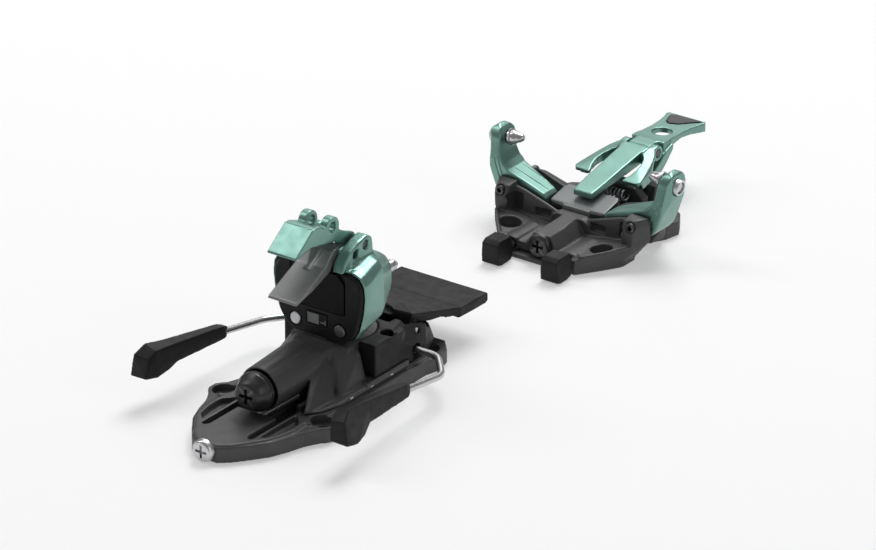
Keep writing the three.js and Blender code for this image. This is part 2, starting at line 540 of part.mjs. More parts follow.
// ---------- toe base ----------
function toeBase() {
  const outline = [
    [0, 180], [9.4, 178.4], [19, 177.4], [26, 188], [29.8, 194.2], [30.8, 197], [30.6, 204], [27.4, 211],
    [25.4, 220], [30, 228.6], [31.4, 236], [27.6, 242.6], [16, 250], [0, 250],
  ];
  const half = slab(outline, 0, 6.4);
  const floor = hull([
    [9, 182, 3], [9, 204, 3], [18.6, 178.4, 6.8], [20.4, 179.4, 7], [28, 188.6, 8.2], [34.4, 197, 9.8],
    [34.4, 204, 9.8], [9, 204, 6.8], [9, 182, 6.4], [18.6, 177.4, 1], [26, 188, 1], [29.8, 195, 1],
    [30.6, 204, 1],
  ]);
  const saddle = mirroredHull([[9.8, 208, 3], [9.4, 205, 11.6], [6.4, 205, 13.4], [6.4, 192, 12.2],
    [8.8, 192, 3], [8.2, 192, 9]]);
  const screwBlock = mirroredHull([[8.6, 204, 2], [8.2, 204, 9.4], [5.6, 204, 12.2], [8.2, 181, 2],
    [7.4, 181, 8.8], [5, 181, 12]]);
  const crossBar = mirroredHull([[14, 234.2, 3], [14, 238.4, 3], [14, 234.2, 11.6], [14, 238.4, 12.4],
    [9.6, 234.6, 15.8], [9.6, 238.2, 16]]);
  const crossWall = hull([
    [6, 204, 2], [6, 204, 12.4], [24, 204, 18.2], [30, 204, 19.4], [30, 204, 2], [6, 202.6, 12.2],
    [24, 202.6, 17.8], [30, 202.6, 18.8], [30, 201.4, 6], [6, 201, 6],
  ]);
  const pivotBlock = hull([
    [28.4, 204, 2], [28.4, 198, 2], [28.4, 196.6, 14.4], [28.8, 198.6, 20], [33.4, 198.6, 20.4],
    [37.2, 204, 20.8], [28.4, 204, 20.8], [38.6, 204, 18], [38.6, 204, 12], [34.6, 196.6, 10.4],
    [34.8, 196.6, 17.6], [31.6, 196.6, 4], [30.8, 204, 1.5], [38.2, 204, 10.6],
  ]);
  const frontWall = hull([
    [9, 219.4, 2], [9, 219.4, 13.6], [24, 219.4, 16], [29.6, 219.4, 20.6], [35.4, 219.4, 19.6],
    [36, 219.4, 13], [28, 219.4, 1], [9, 224.4, 13], [28, 224.6, 18], [33.6, 224.4, 16.6], [30.6, 226, 2],
    [9, 226, 2],
  ]);
  const post = hull([[10.4, 240, 5], [15, 240, 5], [10.4, 250, 5], [15, 250, 5], [10.4, 242.6, 15.2],
    [15, 242.6, 15.2], [10.4, 249.4, 15.2], [15, 249.4, 15.2]]);
  const halfBase = join(half, floor, crossWall, pivotBlock, frontWall, post);
  const holes = join(screwHole(TOE_HOLE_X, TOE_HOLE_Y, 3), screwHole(23.5, 235.4, 3));
  const recess = join(box([24.4, 197, 9.4], [29.6, 203.3, 16.4]), box([10, 197, 8.8], [17.6, 203.3, 12.2]));
  const wingRoom = box([-1, WING_REAR_Y - 0.7, 6.4], [11, WING_FRONT_Y + 0.7, 12.6]);
  const pivot = rod([WING_X, 190, WING_Z], [WING_X, 224.2, WING_Z], 2.25);
  const rodHole = rod([STOP_X, 170, STOP_ROD_Z], [STOP_X, 199, STOP_ROD_Z], 2.3);
  const lightening = box([13, 206, 3], [24, 217.6, 30]);
  const stopScrew = rod([0, 170, STOP_SCREW_Z], [0, 200, STOP_SCREW_Z], 2.7);
  const yokeRoom = join(box([-12.7, 170, -1], [12.7, 185.4, 2.6]), box([-3.9, 182, -1],
    [3.9, 194.6, 11.2]));
  const headRoom = box([-13.4, 170, -1], [13.4, 180.8, 20]);
  const axle = rod([-30, LEVER_AXLE_Y, LEVER_AXLE_Z], [30, LEVER_AXLE_Y, LEVER_AXLE_Z], 1.9);
  const springRoom = rod([-13, SPRING_REAR_Y, SPRING_Z], [13, SPRING_REAR_Y, SPRING_Z], 3);
  const sideTools = join(holes, recess, wingRoom, pivot, rodHole, lightening);
  const base = join(bothSides(halfBase), saddle, screwBlock, crossBar);
  return cut(base, bothSides(sideTools), stopScrew, yokeRoom, headRoom, axle, springRoom);
}

// ---------- wings ----------
function wing(side) {
  const outline = [
    [14.8, 12.6], [14.4, 16], [16, 17.4], [22.6, 19.8], [29, 21.8], [34, 23.4], [37.2, 25.8], [38.8, 29],
    [39.4, 33], [39.7, 36.6], [40.8, 39.2], [42.8, 40.4], [45, 39.2], [45.8, 35], [45.2, 28.6],
    [43, 21.8], [40.6, 15.6], [38.4, 12.8], [34.6, 11.4], [29.4, 11.6], [24, 12.4],
  ];
  const front = frontSlab(outline, WING_REAR_Y, WING_FRONT_Y);
  const boss = new THREE.Shape();
  boss.moveTo(WING_REAR_Y - 1, 5);
  boss.lineTo(WING_FRONT_Y - 1.8, 5);
  boss.lineTo(WING_FRONT_Y + 1, 20);
  boss.lineTo(TOE_PIN_Y + 6, 34.2);
  boss.absarc(TOE_PIN_Y, 34.2, 6.3, 0, Math.PI, false);
  boss.lineTo(WING_REAR_Y - 1, 22);
  const shaped = front.intersect(sideSlab(boss, 10, 50));
  const axis = [TOE_PIN_BACK[0] - TOE_PIN_TIP[0], 0, TOE_PIN_BACK[1] - TOE_PIN_TIP[1]];
  const shaft = rod([TOE_PIN_TIP[0] - axis[0] * 0.2, TOE_PIN_Y, TOE_PIN_TIP[1] - axis[2] * 0.2],
    [TOE_PIN_TIP[0] + axis[0] * 1.4, TOE_PIN_Y, TOE_PIN_TIP[1] + axis[2] * 1.4], 2.5);
  const nutSeat = rod([TOE_PIN_TIP[0] + axis[0] * 0.87, TOE_PIN_Y, TOE_PIN_TIP[1] + axis[2] * 0.87],
    [TOE_PIN_TIP[0] + axis[0] * 1.4, TOE_PIN_Y, TOE_PIN_TIP[1] + axis[2] * 1.4], 3.9);
  const pivot = rod([WING_X, 200, WING_Z], [WING_X, 225, WING_Z], 2.4);
  const channel = hull([[18, 208.6, 20.4], [33, 208.6, 27], [18, 214.8, 20.4], [33, 214.8, 27],
    [16, 209.4, 30], [16, 214, 30], [33, 209.4, 34], [33, 214, 34], [19, 210, 18.6], [19, 213.4, 18.6],
    [32, 210, 24.2], [32, 213.4, 24.2]]);
  const taper = slab([[10, 213.2], [14, 213.2], [35, WING_FRONT_Y - 0.4], [37, WING_FRONT_Y + 4],
    [10, 230]], 0, 26);
  const outerEdge = slab([[43.2, WING_REAR_Y - 2], [43.6, WING_REAR_Y + 1], [46.4, 210.4], [50, 210.4],
    [50, 200]],
    10, 50);
  const solid = cut(shaped, shaft, nutSeat, pivot, channel, taper, outerEdge);
  return side > 0 ? solid : mirrorX(solid);
}

function alongToePin(from, to, radius, endRadius = radius, sides = SIDES) {
  const [tipX, tipZ] = TOE_PIN_TIP;
  const [backX, backZ] = TOE_PIN_BACK;
  const length = Math.hypot(backX - tipX, backZ - tipZ);
  const at = (s) => [tipX + ((backX - tipX) * s) / length, TOE_PIN_Y, tipZ + ((backZ - tipZ) * s) / length];
  return rod(at(from), at(to), radius, endRadius, sides);
}

function toePin(side) {
  const pin = join(alongToePin(0, 1, 0.9, 1.7), alongToePin(1, 4.6, 1.7, 2.9), alongToePin(4.6, 6, 2.9),
    alongToePin(5.8, 6.8, 3.8), alongToePin(6.4, 15.2, 2.2));
  return side > 0 ? pin : mirrorX(pin);
}

function pinNut(side) {
  const nut = cut(alongToePin(13.5, 15.9, 3.5, 3.3), alongToePin(13, 17, 2.5));
  return side > 0 ? nut : mirrorX(nut);
}

function wingPivot(side) {
  const pivot = rod([side * WING_X, 196.8, WING_Z], [side * WING_X, 223.9, WING_Z], 2);
  return cut(pivot, rod([side * WING_X, 195, WING_Z], [side * WING_X, 198.6, WING_Z], 1.2, 1.2, 6));
}

// The envelope of a transverse wing spring: a sleeve between the wings' inner ends.
function toeSpring(y) {
  const sleeve = rod([-SPRING_HALF_X, y, SPRING_Z], [SPRING_HALF_X, y, SPRING_Z], 2.6);
  return cut(sleeve, rod([-13, y, SPRING_Z], [13, y, SPRING_Z], 1.5));
}

function toeCover() {
  const plate = mirroredHull([
    [13.2, 206.4, 14], [13.6, 206.8, 15.4], [13.6, 216.8, 17.6], [12.4, 218.8, 18.1], [12.4, 218.8, 15],
    [6, 206, 13.6],
  ]);
  return join(plate, box([-6.6, WING_REAR_Y + 0.6, 6.8], [6.6, WING_FRONT_Y - 0.4, 15]));
}

// ---------- lever ----------
function leverAxle() {
  return rod([-14.8, LEVER_AXLE_Y, LEVER_AXLE_Z], [14.8, LEVER_AXLE_Y, LEVER_AXLE_Z], 1.6);
}

function toeLever() {
  const edge = [[8.2, 258.4], [8, 262], [7.6, 268], [7.6, 274], [8, 279.4], [8.8, 284], [9.9, 287.4],
    [9.2, 288.6]];
  const plan = slab([...edge, ...edge.map(([x, y]) => [-x, y]).reverse()], 20, 30);
  const paddle = plan.intersect(sideSlab([
    [258, 27.8], [270, 27.3], [289, 27.1], [289, 23], [285, 23.2], [279, 24.2], [272, 24.8], [266, 23.8],
    [262, 22.4], [258, 21.8],
  ], -12, 12));
  const shoulder = mirroredHull([[5.2, 257.8, 27.9], [8.2, 259.4, 27.8], [5.2, 257.8, 21.6],
    [8.2, 259.4, 21.8], [8.4, 264, 27.4], [8.4, 264, 23]]);
  const eye = rod([-5.2, KNUCKLE_Y, KNUCKLE_Z], [5.2, KNUCKLE_Y, KNUCKLE_Z], 3);
  const neck = mirroredHull([[5.2, KNUCKLE_Y, KNUCKLE_Z + 3], [5.2, 258, 27.8],
    [5.2, KNUCKLE_Y, KNUCKLE_Z - 2.9], [5.2, 258, 21.6]]);
  const leg = bothSides(sideSlab([
    [LEVER_AXLE_Y - 2.8, LEVER_AXLE_Z + 1.4], [LEVER_AXLE_Y - 2.2, LEVER_AXLE_Z - 2.2],
    [LEVER_AXLE_Y + 1.6, LEVER_AXLE_Z - 3], [LEVER_AXLE_Y + 4, LEVER_AXLE_Z - 0.4], [259.4, 19],
    [264, 23.4], [264, 26], [258.6, 24], [254, 20.4], [249, 17.4],
  ], 6.4, 9.4));
  const handHole = rod([0, 269.2, 10], [0, 269.2, 40], 4.2);
  const inlay = slab([[-7.3, 286.8], [-4.9, 279.8], [-2.7, 278], [1.2, 279.6], [4.6, 283.4], [8.7, 287.8],
    [-5, 287.8]], 26.4, 35);
  const pin = rod([-20, KNUCKLE_Y, KNUCKLE_Z], [20, KNUCKLE_Y, KNUCKLE_Z], 1.7);
  const axle = rod([-20, LEVER_AXLE_Y, LEVER_AXLE_Z], [20, LEVER_AXLE_Y, LEVER_AXLE_Z], 1.85);
  return cut(join(paddle, shoulder, eye, neck, leg), handHole, inlay, pin, axle);
}

function leverInlay() {
  return slab([[-6.9, 286.6], [-4.6, 280.1], [-2.6, 278.4], [1, 279.9], [4.3, 283.6], [7.9, 287.5],
    [-4.8, 287.5]],
    26.7, 27.4);
}

function leverFork() {
  const spine = mirroredHull([
    [4.7, 210.4, 20.9], [4.7, 210.6, 18.2], [4.7, 232, 24.8], [6.4, 248, 28.1], [6.4, 250, 28.3],
    [4.7, 232, 20.8], [6.4, 248, 22.4], [6.4, 250, 23],
  ]);
  const arm = hull([[4.6, 250, 28.2], [4.6, 243, 26.8], [9.2, 250.4, 27.6], [11.2, 247.4, 26.6],
    [14.6, 240, 24], [16.4, 229, 22.4], [15.4, 227.4, 22], [8.3, 227, 22], [8.3, 227.4, 20.6],
    [15.6, 228, 20.2], [15.6, 238, 20.4], [6, 250, 23], [9.4, 250, 23]]);
  const claw = hull([[11.4, 230.4, 22], [16.4, 229.6, 21.6], [12.2, 232, 17.8], [15.8, 231.8, 17.8],
    [12.6, 238, 18.8], [15.2, 238.4, 18.8], [13, 240, 23], [15, 240, 22.8]]);
  const knuckle = rod([5.6, KNUCKLE_Y, KNUCKLE_Z], [8.8, KNUCKLE_Y, KNUCKLE_Z], 3.4);
  const cheek = hull([[5.6, 247, 27.6], [8.8, 247, 27], [5.6, KNUCKLE_Y, 28.2], [8.8, KNUCKLE_Y, 28.2],
    [5.6, 247, 22.8], [8.8, 247, 22.8], [5.6, KNUCKLE_Y, 21.6], [8.8, KNUCKLE_Y, 21.6]]);
  const slot = bothSides(slab([[5.2, 222], [8.4, 222], [8.4, 228.2], [9.6, 231.4], [10.2, 235],
    [9.8, 239], [8.2, 243], [5.6, 246]], 0, 40));
  const eyeRoom = rod([-5.5, KNUCKLE_Y, KNUCKLE_Z], [5.5, KNUCKLE_Y, KNUCKLE_Z], 3.5);
  const beyond = box([-5.5, KNUCKLE_Y, 10], [5.5, 262, 40]);
  const pin = rod([-20, KNUCKLE_Y, KNUCKLE_Z], [20, KNUCKLE_Y, KNUCKLE_Z], 1.85);
  const solid = join(spine, bothSides(join(arm, claw, knuckle, cheek)));
  return cut(solid, slot, eyeRoom, beyond, pin);
}

function forkPin() {
  return rod([-8.6, KNUCKLE_Y, KNUCKLE_Z], [8.6, KNUCKLE_Y, KNUCKLE_Z], 1.5);
}

// ---------- boot stops ----------
function bootStop(side) {
  const stop = hull([
    [10.3, 165.4, 0.6], [10.6, 165, 9.4], [19.2, 165.4, 0.6], [18.8, 165, 9.4], [10.8, 167.2, 11],
    [18.6, 167.2, 11], [10.4, 174, 0.4], [19.2, 174, 0.4], [10.8, 174.4, 11], [18.6, 174.4, 11],
    [10.6, 175.6, 8], [19, 175.6, 8], [10.8, 175.6, 1], [18.8, 175.6, 1], [10.4, 168, 0], [19.2, 168, 0],
  ]);
  const socket = rod([STOP_X, 170, STOP_ROD_Z], [STOP_X, 180, STOP_ROD_Z], 2.2);
  const shaped = cut(stop, socket);
  return side > 0 ? shaped : mirrorX(shaped);
}

function stopRod(side) {
  return rod([side * STOP_X, 170.3, STOP_ROD_Z], [side * STOP_X, 194, STOP_ROD_Z], 1.9);
}

function stopYoke() {
  const bar = box([-12.4, 177, 0.3], [12.4, 183.4, 2.2]);
  const arm = box([-3.5, 178, 0.3], [3.5, 189.6, 2.2]);
  const nut = box([-3.5, 186.2, 0.3], [3.5, 189.8, 10.8]);
  return cut(join(bar, arm, nut), rod([0, 168, STOP_SCREW_Z], [0, 200, STOP_SCREW_Z], 2.6));
}

function stopScrew() {
  const head = turned([[0, 0], [0, 4.6], [0.9, 5.3], [2.4, 5.3], [2.4, 0]], 0, 178, STOP_SCREW_Z);
  const shank = rod([0, 180, STOP_SCREW_Z], [0, 198, STOP_SCREW_Z], 2.3);
  return cut(join(head, shank), crossRecess(0, 178, STOP_SCREW_Z, 3, 1.6));
}

// ---------- assembly ----------
addPart('heel_base_plate', heelBasePlate(), BLACK);
addPart('length_screw', lengthScrew(), STEEL);
addPart('length_nut', lengthNut(), STEEL);
addPart('heel_carriage', heelCarriage(), BLACK);
addPart('release_cap', releaseCap(), PLASTIC);
addPart('release_spring', releaseSpring(), SPRING_STEEL);
addPart('release_plunger', releasePlunger(), STEEL);
addPart('tower_post', towerPost(), STEEL);
addPart('tower_body', towerBody(), GREEN);
addPart('tower_rear_cover', towerRearCover(), PLASTIC);
addPart('cover_inlay', coverInlay(), INLAY);
addPart('release_scale', releaseScale(), GREY);
addPart('heel_pin_fork', heelPinFork(), STEEL);
addPart('upper_flap', upperFlap(), GREEN);
addPart('lower_flap', lowerFlap(), GREY);
addPart('flap_pin', flapPin(), SPRING_STEEL);
addPart('brake_housing', brakeHousing(), PLASTIC);
addPart('brake_pad', brakePad(), PLASTIC);
addPart('brake_pad_pin', brakePadPin(), STEEL);
addPart('brake_spring', brakeSpring(), SPRING_STEEL);
addPart('toe_base', toeBase(), BLACK);
addPart('toe_cover', toeCover(), GREY);
addPart('toe_spring_rear', toeSpring(SPRING_REAR_Y), SPRING_STEEL);
addPart('toe_spring_front', toeSpring(SPRING_FRONT_Y), SPRING_STEEL);
addPart('lever_axle', leverAxle(), STEEL);
addPart('toe_lever', toeLever(), GREEN);
addPart('lever_inlay', leverInlay(), GREY);
addPart('lever_fork', leverFork(), GREEN);
addPart('fork_pin', forkPin(), STEEL);
addPart('stop_yoke', stopYoke(), BLACK);
addPart('stop_screw', stopScrew(), BLACK);

for (const [name, side] of [['left', -1], ['right', 1]]) {
  addPart(`cover_disc_${name}`, coverDisc(side), STEEL);
  addPart(`housing_screw_${name}`, housingScrew(side), SPRING_STEEL);
  addPart(`brake_wire_${name}`, brakeWire(side), STEEL);
  addPart(`brake_foot_${name}`, brakeFoot(side), PLASTIC);
  addPart(`wing_${name}`, wing(side), GREEN);
  addPart(`toe_pin_${name}`, toePin(side), STEEL);
  addPart(`pin_nut_${name}`, pinNut(side), STEEL);
  addPart(`wing_pivot_${name}`, wingPivot(side), SPRING_STEEL);
  addPart(`boot_stop_${name}`, bootStop(side), PLASTIC);
  addPart(`stop_rod_${name}`, stopRod(side), STEEL);
}

export default group;
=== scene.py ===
# Touring ski binding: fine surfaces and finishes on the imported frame. The frame is in metres; the
# object's lengths are written in millimetres and go through MM.
import json
import math

import bmesh
import bpy
from mathutils import Matrix, Vector


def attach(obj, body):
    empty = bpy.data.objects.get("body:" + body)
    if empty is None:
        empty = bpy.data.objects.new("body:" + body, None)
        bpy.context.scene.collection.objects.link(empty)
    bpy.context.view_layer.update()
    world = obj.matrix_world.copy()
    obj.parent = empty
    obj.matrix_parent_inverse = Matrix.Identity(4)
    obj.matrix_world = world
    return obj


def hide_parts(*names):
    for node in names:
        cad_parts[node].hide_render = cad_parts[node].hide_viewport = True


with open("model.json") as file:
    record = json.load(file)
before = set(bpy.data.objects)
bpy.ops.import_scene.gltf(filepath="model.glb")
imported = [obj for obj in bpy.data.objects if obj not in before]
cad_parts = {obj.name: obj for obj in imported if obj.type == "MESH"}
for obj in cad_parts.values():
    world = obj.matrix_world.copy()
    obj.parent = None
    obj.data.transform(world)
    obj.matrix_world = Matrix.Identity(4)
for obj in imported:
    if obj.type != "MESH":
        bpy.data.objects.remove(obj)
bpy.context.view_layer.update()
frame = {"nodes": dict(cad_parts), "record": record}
MM = 0.001
BODY = {node: body for body, nodes in frame["record"]["behaviour"]["bodies"].items() for node in nodes}

SIDES = (("left", -1), ("right", 1))

# ---------- shared places and sizes, in millimetres ----------
HEEL_HOLES = ((24, 0, 3.2), (18.5, 76.5, 3))  # x, y and height of the counterbore's seat
TOE_HOLES = ((22.9, 191.2, 3), (23.5, 235.4, 3))
COUNTERBORE_R = 4.72
SHANK_R = 3.12  # through holes of the plates
BOLT_X = 18.2  # the brake housing's two upright screws
BOLT_Y = 49.8
BOLT_HOLE_R = 2.72
HEEL_TAIL_Y = -42.3  # rear end of the heel plate; the length screw's head sits behind it
SCREW_Z = 4.6  # axis of the length screw
THREAD_START_Y = -26  # the length screw's thread
THREAD_END_Y = 56
THREAD_PITCH = 1.0
THREAD_R = 2.0
ROOT_R = 1.62
BARREL_Z = 16.6  # axis of the release barrel
CAP_Y = -17  # rear face of the release cap
SCALE_FRONT_Y = 28.55  # the window's marks stand this far back
SCALE_BACK_Y = 28.85
PAD_CREASE_Y = 94.7  # the fine line across the pad
FLAP_PIN = (42.7, 62.6)  # y and z of the pins and axles that lie across the object
PAD_PIN = (68, 17.5)
BRAKE_AXLE = (64, 11.6)
LEVER_AXLE = (246, 12)
FORK_PIN = (253.6, 24.8)
LEVER_HOLE_Y = 269.2  # the round hole in the lever
WING_REAR_Y = 205  # rear face of the wings
WING_X = 32.7  # the wings' pivots
WING_Z = 17.6
PIN_TIP = (31.4, 213, 35.9)  # the toe pins' axis, on the right side
PIN_BACK = (46.6, 213, 33.6)
GROOVE_R = 0.4  # the fine lines on the wings
STOP_ROD_X = 14.75  # the boot stops' rods
STOP_ROD_Z = 4.6
STOP_SCREW_Y = 178  # rear face of the stop screw's head
STOP_SCREW_Z = 7.6
RECESS_ARM = 0.2  # half width of a cross recess's arm, as a share of its length from the centre

# ---------- camera, floor and light ----------
TARGET = Vector((-0.013879, 0.127778, 0.010))
AZIMUTH = math.radians(36)
ELEVATION = math.radians(25)
DISTANCE = 2.2282
FOCAL_LENGTH = 226.03
FLOOR_ALBEDO = 0.485
FLOOR_GLOW = 0.4  # the paper's own light, which keeps it near white and its shadows soft
FLOOR_DROP = 0.0004  # the paper lies this far below the plates
WORLD_LIGHT = 0.26


def add_camera():
    data = bpy.data.cameras.new("camera")
    data.sensor_width = 36
    data.lens = FOCAL_LENGTH
    data.clip_end = 50
    camera = bpy.data.objects.new("camera", data)
    back = Vector((math.sin(AZIMUTH) * math.cos(ELEVATION), -math.cos(AZIMUTH) * math.cos(ELEVATION),
                   math.sin(ELEVATION)))
    camera.location = TARGET + back * DISTANCE
    camera.rotation_euler = (-back).to_track_quat("-Z", "Y").to_euler()
    bpy.context.collection.objects.link(camera)
    bpy.context.scene.camera = camera


def add_area_light(name, location, target, size, energy):
    data = bpy.data.lights.new(name, "AREA")
    data.shape = "RECTANGLE"
    data.size, data.size_y = size
    data.energy = energy
    light = bpy.data.objects.new(name, data)
    light.location = location
    light.rotation_euler = (Vector(target) - Vector(location)).to_track_quat("-Z", "Y").to_euler()
    bpy.context.collection.objects.link(light)


def add_stage():
    mesh = bpy.data.meshes.new("floor")
    half = 12.0
    corners = [(-half, -half, 0), (half, -half, 0), (half, half, 0), (-half, half, 0)]
    mesh.from_pydata(corners, [], [(0, 1, 2, 3)])
    floor = bpy.data.objects.new("floor", mesh)
    floor.location = (0, 0, -FLOOR_DROP)
    bpy.context.collection.objects.link(floor)
    material = bpy.data.materials.new("floor_paper")
    material.use_nodes = True
    shader = material.node_tree.nodes["Principled BSDF"]
    shader.inputs["Base Color"].default_value = (FLOOR_ALBEDO,) * 3 + (1,)
    shader.inputs["Roughness"].default_value = 0.9
    shader.inputs["Specular IOR Level"].default_value = 0.0
    shader.inputs["Emission Color"].default_value = (1, 1, 1, 1)
    shader.inputs["Emission Strength"].default_value = FLOOR_GLOW
    mesh.materials.append(material)
    world = bpy.data.worlds.new("studio")
    world.use_nodes = True
    world.node_tree.nodes["Background"].inputs["Color"].default_value = (1, 1, 1, 1)
    world.node_tree.nodes["Background"].inputs["Strength"].default_value = WORLD_LIGHT
    bpy.context.scene.world = world
    bpy.context.scene.view_settings.view_transform = "Standard"
    centre = (0, 0.12, 0.03)
    add_area_light("top", (-0.38, 1.5, 2.6), centre, (1.7, 1.7), 75)
    add_area_light("left", (-2.1, -0.6, 2.4), centre, (0.9, 2.2), 26)
    add_area_light("right", (2.75, -0.25, 1.1), centre, (0.6, 2.0), 8)
    add_area_light("front_left", (-2.0, 3.0, 1.75), centre, (1.8, 1.3), 8)


# ---------- materials ----------
def mix_color(tree, factor, low, high):
    node = tree.nodes.new("ShaderNodeMix")
    node.data_type = "RGBA"
    tree.links.new(factor, node.inputs[0])
    for index, value in ((6, low), (7, high)):
        if isinstance(value, tuple):
            node.inputs[index].default_value = value
        else:
            tree.links.new(value, node.inputs[index])
    return node.outputs[2]


def noise(tree, coords, scale, detail, stretch=None):
    if stretch:
        mapping = tree.nodes.new("ShaderNodeMapping")
        mapping.inputs["Scale"].default_value = stretch
        tree.links.new(coords, mapping.inputs["Vector"])
        coords = mapping.outputs["Vector"]
    node = tree.nodes.new("ShaderNodeTexNoise")
    node.inputs["Scale"].default_value = scale
    node.inputs["Detail"].default_value = detail
    tree.links.new(coords, node.inputs["Vector"])
    return node.outputs["Fac"]


def spread(tree, value, low, high, start=0.35, end=0.65):
    node = tree.nodes.new("ShaderNodeMapRange")
    node.inputs["From Min"].default_value = start
    node.inputs["From Max"].default_value = end
    node.inputs["To Min"].default_value = low
    node.inputs["To Max"].default_value = high
    tree.links.new(value, node.inputs["Value"])
    return node.outputs["Result"]


def surface(name, color, metallic, roughness, grain_mm=0.12, grain=0.06, tint=0.06, wear=0.0, wear_color=None,
            brushed=None, specular=0.5):
    """A finish with colour drift, fine grain, uneven gloss and, where wear is above 0, paler worn edges."""
    material = bpy.data.materials.new(name)
    material.use_nodes = True
    tree = material.node_tree
    shader = tree.nodes["Principled BSDF"]
    shader.inputs["Metallic"].default_value = metallic
    shader.inputs["Specular IOR Level"].default_value = specular
    coords = tree.nodes.new("ShaderNodeTexCoord").outputs["Object"]
    drift = noise(tree, coords, 55, 4)
    dark = tuple(c * (1 - tint) for c in color) + (1,)
    light = tuple(min(1, c * (1 + tint)) for c in color) + (1,)
    base = mix_color(tree, spread(tree, drift, 0, 1), dark, light)
    if wear > 0:
        edge = tree.nodes.new("ShaderNodeNewGeometry").outputs["Pointiness"]
        base = mix_color(tree, spread(tree, edge, 0, wear, 0.53, 0.62), base, wear_color + (1,))
    tree.links.new(base, shader.inputs["Base Color"])
    patch = noise(tree, coords, 210, 2)
    gloss = spread(tree, patch, roughness * 0.88, min(1, roughness * 1.12))
    tree.links.new(gloss, shader.inputs["Roughness"])
    height = noise(tree, coords, 1 / (grain_mm * MM), 2, brushed)
    bump = tree.nodes.new("ShaderNodeBump")
    bump.inputs["Strength"].default_value = grain
    bump.inputs["Distance"].default_value = 0.1 * MM
    tree.links.new(height, bump.inputs["Height"])
    tree.links.new(bump.outputs["Normal"], shader.inputs["Normal"])
    return material


GREEN = surface("green_anodised", (0.175, 0.32, 0.276), 0.8, 0.34, grain=0.05, wear=0.5,
                wear_color=(0.38, 0.54, 0.48))
BLACK = surface("black_anodised", (0.07, 0.07, 0.071), 0.3, 0.46, grain=0.07, wear=0.3,
                wear_color=(0.1, 0.1, 0.1), specular=0.25)
FLAP_GREY = surface("grey_anodised", (0.25, 0.25, 0.253), 0.5, 0.4, grain=0.06, wear=0.4,
                    wear_color=(0.3, 0.3, 0.3), specular=0.3)
COVER_GREY = surface("dark_grey_anodised", (0.165, 0.173, 0.173), 0.4, 0.42, grain=0.06, wear=0.3,
                     wear_color=(0.16, 0.16, 0.16), specular=0.3)
PLASTIC = surface("black_nylon", (0.01, 0.01, 0.0105), 0.0, 0.52, grain_mm=0.22, grain=0.14, wear=0.2,
                  wear_color=(0.04, 0.04, 0.04), specular=0.2)
STEEL = surface("bright_steel", (0.56, 0.56, 0.57), 1.0, 0.3, grain_mm=0.5, grain=0.02, brushed=(1, 0.05, 1))
SPRING = surface("spring_steel", (0.22, 0.225, 0.23), 1.0, 0.34, grain_mm=0.3, grain=0.04)
GLOSS = surface("gloss_black", (0.005, 0.005, 0.0055), 0.0, 0.4, grain_mm=0.6, grain=0.01, specular=0.1)
DARK_STEEL = surface("black_screw", (0.05, 0.05, 0.052), 0.7, 0.36, grain=0.04, wear=0.4,
                     wear_color=(0.25, 0.25, 0.25), specular=0.3)
PALE_DISC = surface("zinc_disc", (0.6, 0.62, 0.63), 1.0, 0.42, grain_mm=0.4, grain=0.05)
DULL_DISC = surface("dull_disc", (0.2, 0.205, 0.21), 1.0, 0.45, grain_mm=0.4, grain=0.05)
INK = surface("pale_ink", (0.6, 0.6, 0.59), 0.0, 0.6, grain=0.02)
DULL_INK = surface("dull_ink", (0.2, 0.2, 0.2), 0.0, 0.6, grain=0.02)


# ---------- mesh helpers ----------
def new_piece(name, mesh):
    piece = bpy.data.objects.new(name, mesh)
    bpy.context.collection.objects.link(piece)
    return piece


def from_bmesh(name, bm):
    bmesh.ops.recalc_face_normals(bm, faces=bm.faces)
    mesh = bpy.data.meshes.new(name)
    bm.to_mesh(mesh)
    bm.free()
    return new_piece(name, mesh)


def settle(piece):
    """Turns the piece's modifiers into its mesh."""
    bpy.context.view_layer.update()
    graph = bpy.context.evaluated_depsgraph_get()
    mesh = bpy.data.meshes.new_from_object(piece.evaluated_get(graph))
    piece.modifiers.clear()
    piece.data = mesh


def lathe(name, profile, segments=72):
    """A closed turned piece about Y: profile holds (along, radius) pairs in millimetres."""
    bm = bmesh.new()
    rings = []
    for along, radius in profile:
        if radius < 1e-6:
            rings.append([bm.verts.new((0, along * MM, 0))])
            continue
        turn = [2 * math.pi * i / segments for i in range(segments)]
        around = [(radius * MM * math.cos(a), along * MM, radius * MM * math.sin(a)) for a in turn]
        rings.append([bm.verts.new(place) for place in around])
    for first, second in zip(rings, rings[1:]):
        for i in range(segments):
            j = (i + 1) % segments
            if len(first) == 1:
                bm.faces.new((first[0], second[i], second[j]))
            elif len(second) == 1:
                bm.faces.new((first[i], second[0], first[j]))
            else:
                bm.faces.new((first[i], second[i], second[j], first[j]))
    return from_bmesh(name, bm)


def tube_mesh(name, points, radius, sides=20):
    """A round bar along points, both in millimetres."""
    bm = bmesh.new()
    path = [Vector(p) * MM for p in points]
    normal = (path[1] - path[0]).orthogonal().normalized()
    rings = []
    for i, point in enumerate(path):
        ahead = path[min(i + 1, len(path) - 1)] - path[max(i - 1, 0)]
        ahead.normalize()
        normal = (normal - ahead * normal.dot(ahead)).normalized()
        across = ahead.cross(normal)
        ring = []
        for k in range(sides):
            a = 2 * math.pi * k / sides
            ring.append(bm.verts.new(point + (normal * math.cos(a) + across * math.sin(a)) * radius * MM))
        rings.append(ring)
    for first, second in zip(rings, rings[1:]):
        for k in range(sides):
            bm.faces.new((first[k], first[(k + 1) % sides], second[(k + 1) % sides], second[k]))
    bm.faces.new(rings[0][::-1])
    bm.faces.new(rings[-1])
    return from_bmesh(name, bm)


